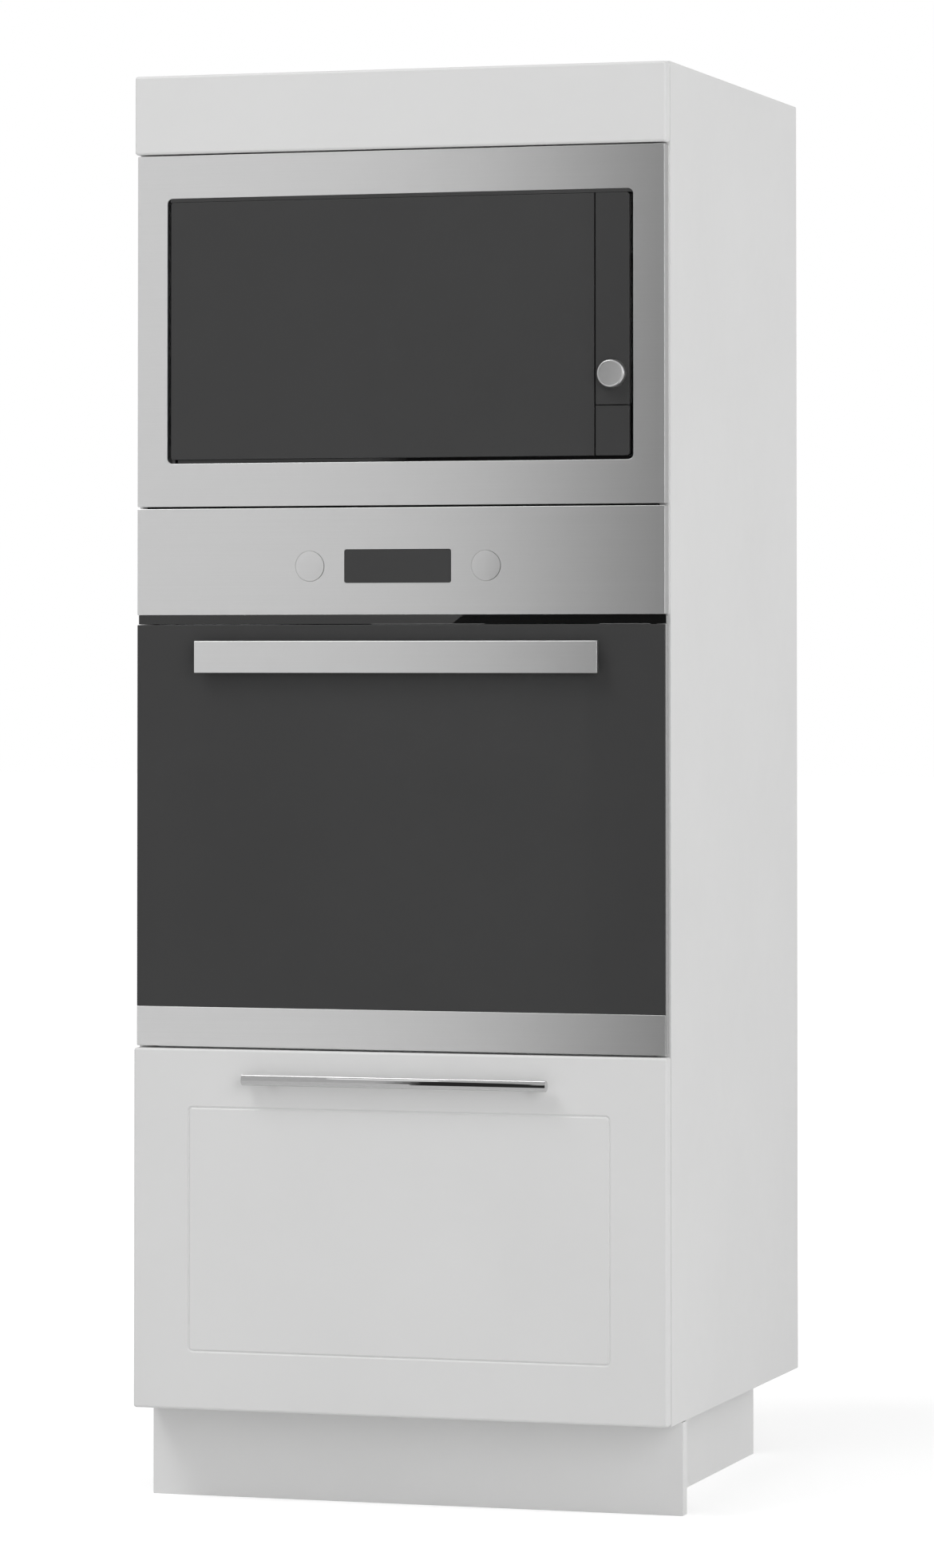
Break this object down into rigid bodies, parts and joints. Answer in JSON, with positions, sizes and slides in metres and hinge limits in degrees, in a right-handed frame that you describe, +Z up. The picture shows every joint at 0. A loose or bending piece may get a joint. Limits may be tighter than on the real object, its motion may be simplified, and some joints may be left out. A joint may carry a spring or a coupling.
{
  "type": "tall oven housing unit",
  "caption": "Tall kitchen housing with a deep drawer, a built-in oven with a drop-down door, a built-in microwave with a side-hung door and a blind top panel.",
  "frame": {"origin": "on the floor, below the middle of the unit's overall box, handles included", "axes": "+Z up, -Y towards the person who stands in front, +X to the right as seen from the front"},
  "size_m": [0.6, 0.5971, 1.5513],
  "materials": {
    "front_lacquer": "satin white lacquer on board",
    "carcass_board": "white melamine-faced board",
    "plinth_board": "satin white lacquer on board",
    "drawer_board": "white melamine-faced board",
    "steel_face": "fine horizontal brush",
    "handle_steel": "satin",
    "knob_steel": "turned, satin",
    "bright_chrome": "polished",
    "zinc_steel": "galvanised sheet",
    "enamel_dark": "gloss vitreous enamel",
    "cavity_paint": "pale grey cavity paint",
    "heater_steel": "heat-stained steel tube",
    "black_glass": "polished, printed black behind",
    "clear_glass": "clear, polished",
    "black_gloss": "gloss",
    "dark_plastic": "matt",
    "leg_plastic": "matt",
    "pale_plastic": "matt",
    "seal_rubber": "matt silicone"
  },
  "bodies": {
    "cabinet": {"side_panel_left": "carcass_board", "side_panel_right": "carcass_board", "base_panel": "carcass_board", "oven_shelf": "carcass_board", "microwave_shelf": "carcass_board", "top_panel": "carcass_board", "back_panels": "carcass_board", "top_fascia": "front_lacquer", "fascia_blocks": "carcass_board", "wall_brackets": "zinc_steel", "plinth_front": "plinth_board", "plinth_sides": "plinth_board", "adjustable_legs": "leg_plastic", "runner_cabinet_members": "zinc_steel", "oven_casing": "zinc_steel", "oven_cavity": "enamel_dark", "oven_front_frame": "zinc_steel", "oven_control_panel": "steel_face", "oven_display": "black_glass", "oven_vent_strip": "black_gloss", "door_gasket": "seal_rubber", "side_racks": "bright_chrome", "wire_shelf": "bright_chrome", "baking_tray": "enamel_dark", "fan_cover": "enamel_dark", "drive_motors": "zinc_steel", "heating_elements": "heater_steel", "oven_lamp": "clear_glass", "oven_hinges": "zinc_steel", "switch_bracket": "zinc_steel", "microwave_trim": "steel_face", "microwave_bezel": "black_gloss", "microwave_casing": "zinc_steel", "microwave_cavity": "cavity_paint", "microwave_control_panel": "black_glass"},
    "drawer": {"drawer_front": "front_lacquer", "drawer_sides": "drawer_board", "drawer_back": "drawer_board", "drawer_bottom": "drawer_board", "drawer_handle": "bright_chrome", "runner_drawer_members": "zinc_steel"},
    "runner_left": {"runner_middle_left": "zinc_steel"},
    "runner_right": {"runner_middle_right": "zinc_steel"},
    "oven_door": {"door_frame": "dark_plastic", "door_glass": "black_glass", "door_inner_glass": "clear_glass", "door_trim": "steel_face", "oven_handle": "handle_steel"},
    "left_shaft": {"knob_shaft_left": "zinc_steel"},
    "right_shaft": {"knob_shaft_right": "zinc_steel"},
    "left_knob": {"knob_left": "knob_steel"},
    "right_knob": {"knob_right": "knob_steel"},
    "microwave_door": {"microwave_door_frame": "dark_plastic", "microwave_door_glass": "black_glass"},
    "timer_knob": {"microwave_knob": "knob_steel"},
    "door_button": {"open_button": "black_glass"},
    "turntable_drive": {"turntable": "clear_glass", "drive_coupler": "pale_plastic"},
    "rollers": {"roller_ring": "pale_plastic"},
    "fan_wheel": {"oven_fan": "cavity_paint"}
  },
  "joints": [
    {"name": "drawer_slide", "type": "slide", "parent": "cabinet", "child": "drawer", "axis": [0, -1, 0], "range_m": [0, 0.45]},
    {"name": "runner_left_slide", "type": "slide", "parent": "cabinet", "child": "runner_left", "axis": [0, -1, 0], "range_m": [0, 0.225]},
    {"name": "runner_right_slide", "type": "slide", "parent": "cabinet", "child": "runner_right", "axis": [0, -1, 0], "range_m": [0, 0.225]},
    {"name": "oven_door_hinge", "type": "hinge", "parent": "cabinet", "child": "oven_door", "pos_m": [0, -0.27195, 0.502], "axis": [1, 0, 0], "range_deg": [0, 90]},
    {"name": "microwave_door_hinge", "type": "hinge", "parent": "cabinet", "child": "microwave_door", "pos_m": [-0.2562, -0.27355, 1.2708], "axis": [0, 0, -1], "range_deg": [0, 110]},
    {"name": "knob_left_pop", "type": "slide", "parent": "cabinet", "child": "left_shaft", "axis": [0, -1, 0], "range_m": [0, 0.018]},
    {"name": "knob_right_pop", "type": "slide", "parent": "cabinet", "child": "right_shaft", "axis": [0, -1, 0], "range_m": [0, 0.018]},
    {"name": "knob_left_turn", "type": "hinge", "parent": "left_shaft", "child": "left_knob", "pos_m": [-0.0994, -0.27685, 1.0139], "axis": [0, 1, 0], "continuous": true},
    {"name": "knob_right_turn", "type": "hinge", "parent": "right_shaft", "child": "right_knob", "pos_m": [0.0994, -0.27685, 1.0139], "axis": [0, 1, 0], "range_deg": [0, 270]},
    {"name": "timer_knob_turn", "type": "hinge", "parent": "cabinet", "child": "timer_knob", "pos_m": [0.24, -0.27685, 1.2176], "axis": [0, 1, 0], "continuous": true},
    {"name": "door_button_press", "type": "slide", "parent": "cabinet", "child": "door_button", "axis": [0, 1, 0], "range_m": [0, 0.003], "stiffness_N_per_m": 600, "springref_m": -0.002},
    {"name": "turntable_turn", "type": "hinge", "parent": "cabinet", "child": "turntable_drive", "pos_m": [-0.04495, -0.07195, 1.1713], "axis": [0, 0, 1], "continuous": true},
    {"name": "roller_turn", "type": "hinge", "parent": "cabinet", "child": "rollers", "pos_m": [-0.04495, -0.07195, 1.1653], "axis": [0, 0, 1], "continuous": true},
    {"name": "fan_spin", "type": "hinge", "parent": "cabinet", "child": "fan_wheel", "pos_m": [0, 0.14805, 0.745], "axis": [0, 1, 0], "continuous": true}
  ],
  "couplings": [
    {"joint": "runner_left_slide", "follows": "drawer_slide", "ratio": 0.5},
    {"joint": "runner_right_slide", "follows": "drawer_slide", "ratio": 0.5},
    {"joint": "roller_turn", "follows": "turntable_turn", "ratio": 0.5}
  ]
}
